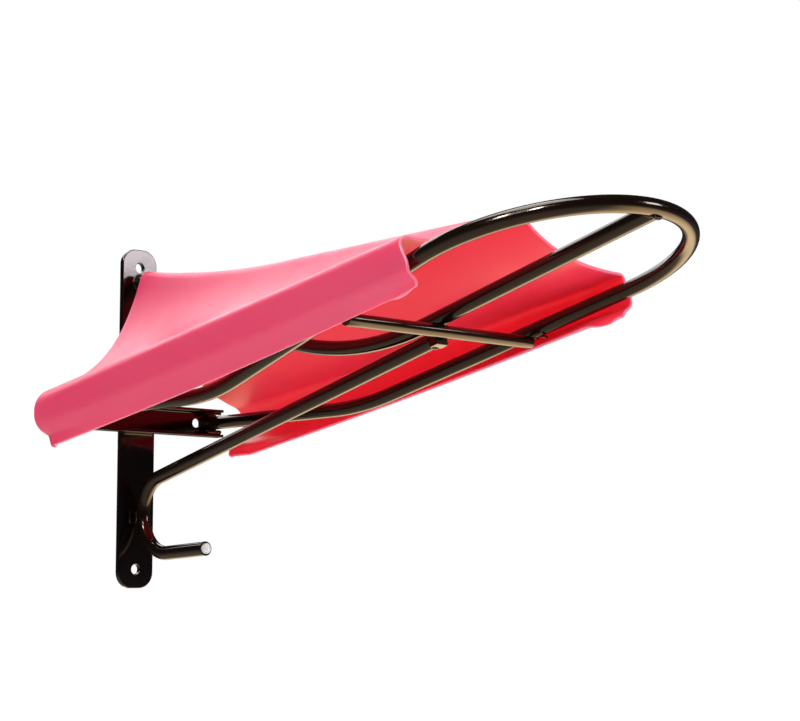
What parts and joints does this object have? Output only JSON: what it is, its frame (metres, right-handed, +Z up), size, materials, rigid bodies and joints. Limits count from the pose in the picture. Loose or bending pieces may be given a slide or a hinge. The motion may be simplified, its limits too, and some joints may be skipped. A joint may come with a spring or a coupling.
{
  "type": "saddle rack",
  "caption": "Wall-mounted saddle rack: a rising steel tube loop on a flat wall plate, with a centre rail, a bridle hook and a moulded plastic cover that lifts off.",
  "frame": {"origin": "back face of the wall plate, on the middle line, level with the crossbar", "axes": "+Z up, +Y into the wall, the rack reaches out along -Y, +X along the crossbar"},
  "size_m": [0.2318, 0.5975, 0.3],
  "materials": {
    "painted_plate": "gloss black-brown stove enamel",
    "painted_tube": "gloss black-brown stove enamel",
    "plug_plastic": "satin light grey",
    "cover_plastic": "semi-gloss pink, slightly translucent"
  },
  "bodies": {
    "frame": {"wall_plate": "painted_plate", "crossbar": "painted_plate", "loop_tube": "painted_tube", "centre_rail": "painted_tube", "cross_rod": "painted_tube", "junction_plate": "painted_plate", "brace_hook": "painted_tube", "hook_saddle": "painted_plate", "hook_end_plug": "plug_plastic"},
    "cover_shell": {"cover": "cover_plastic"}
  },
  "joints": [
    {"name": "cover_lift", "type": "slide", "parent": "frame", "child": "cover_shell", "axis": [0, 0, 1], "range_m": [0, 0.2]}
  ]
}
